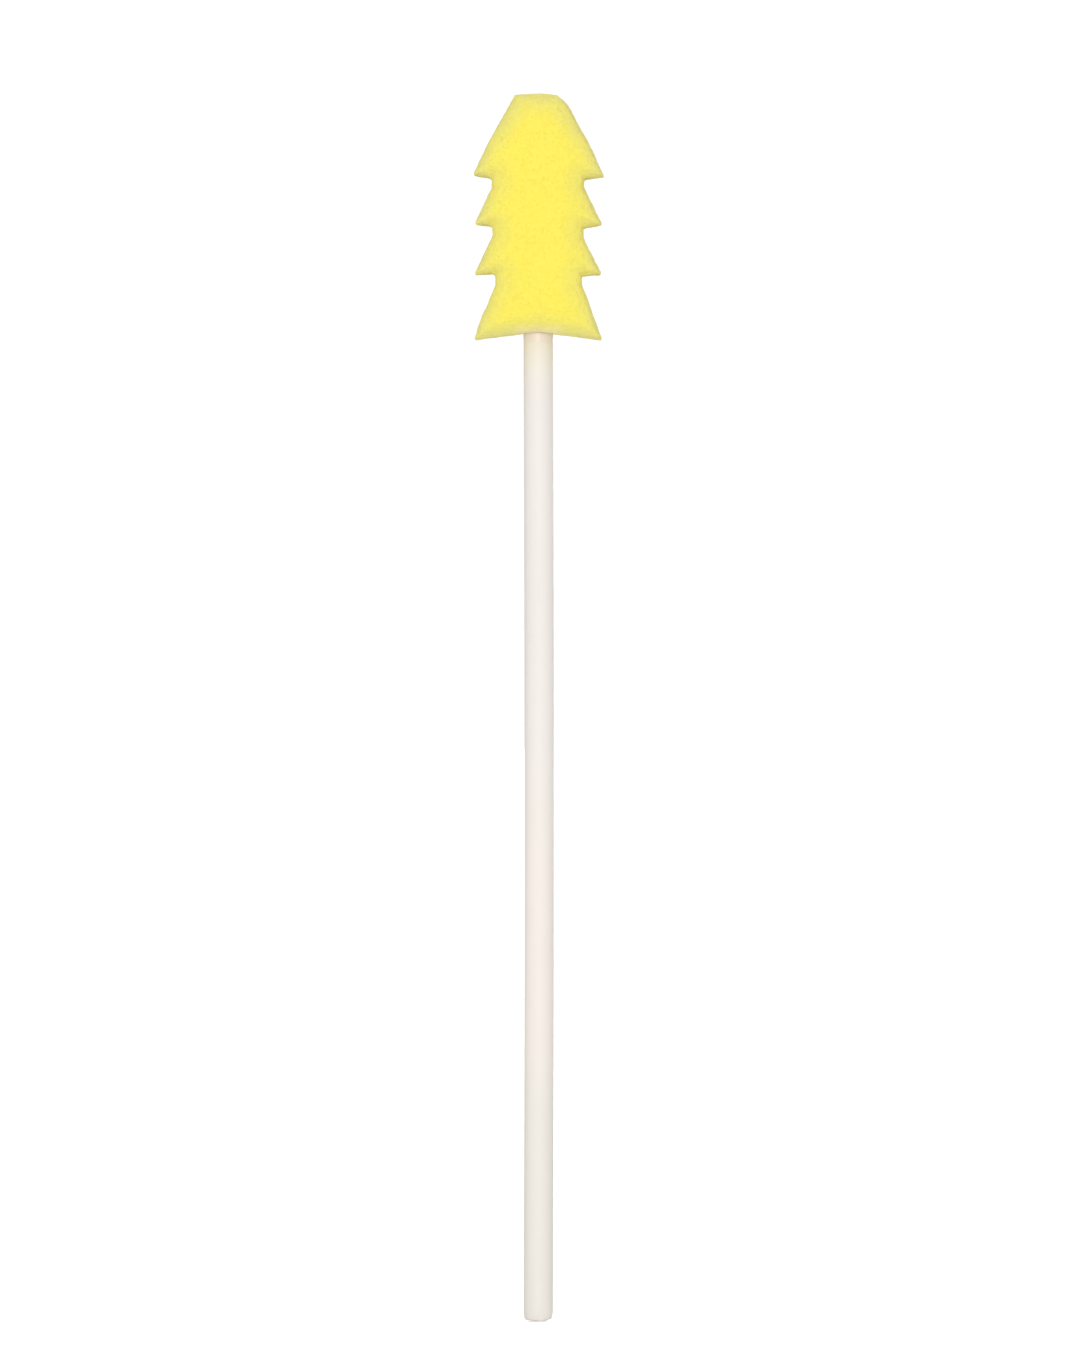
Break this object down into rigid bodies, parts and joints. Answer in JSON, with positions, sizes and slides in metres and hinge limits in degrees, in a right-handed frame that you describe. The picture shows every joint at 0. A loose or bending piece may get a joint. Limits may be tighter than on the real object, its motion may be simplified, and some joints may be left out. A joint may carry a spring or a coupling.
{
  "type": "foam sponge brush",
  "caption": "Small foam applicator brush: a tree-shaped block of soft foam with toothed edges, glued on a slim straight plastic tube.",
  "frame": {"origin": "centre of the tube's cut butt end, on the tube's axis", "axes": "+Z along the tube from the butt end to the foam's crown, X across the head from tooth to tooth, the head's broad front face looks to -Y"},
  "size_m": [0.016, 0.012, 0.15],
  "materials": {
    "foam": "soft open-cell foam, matte",
    "tube": "satin extruded polypropylene",
    "glue": "translucent hot-melt glue"
  },
  "bodies": {
    "root": {"foam_head": "foam", "handle_tube": "tube", "glue_bond": "glue"}
  },
  "joints": []
}
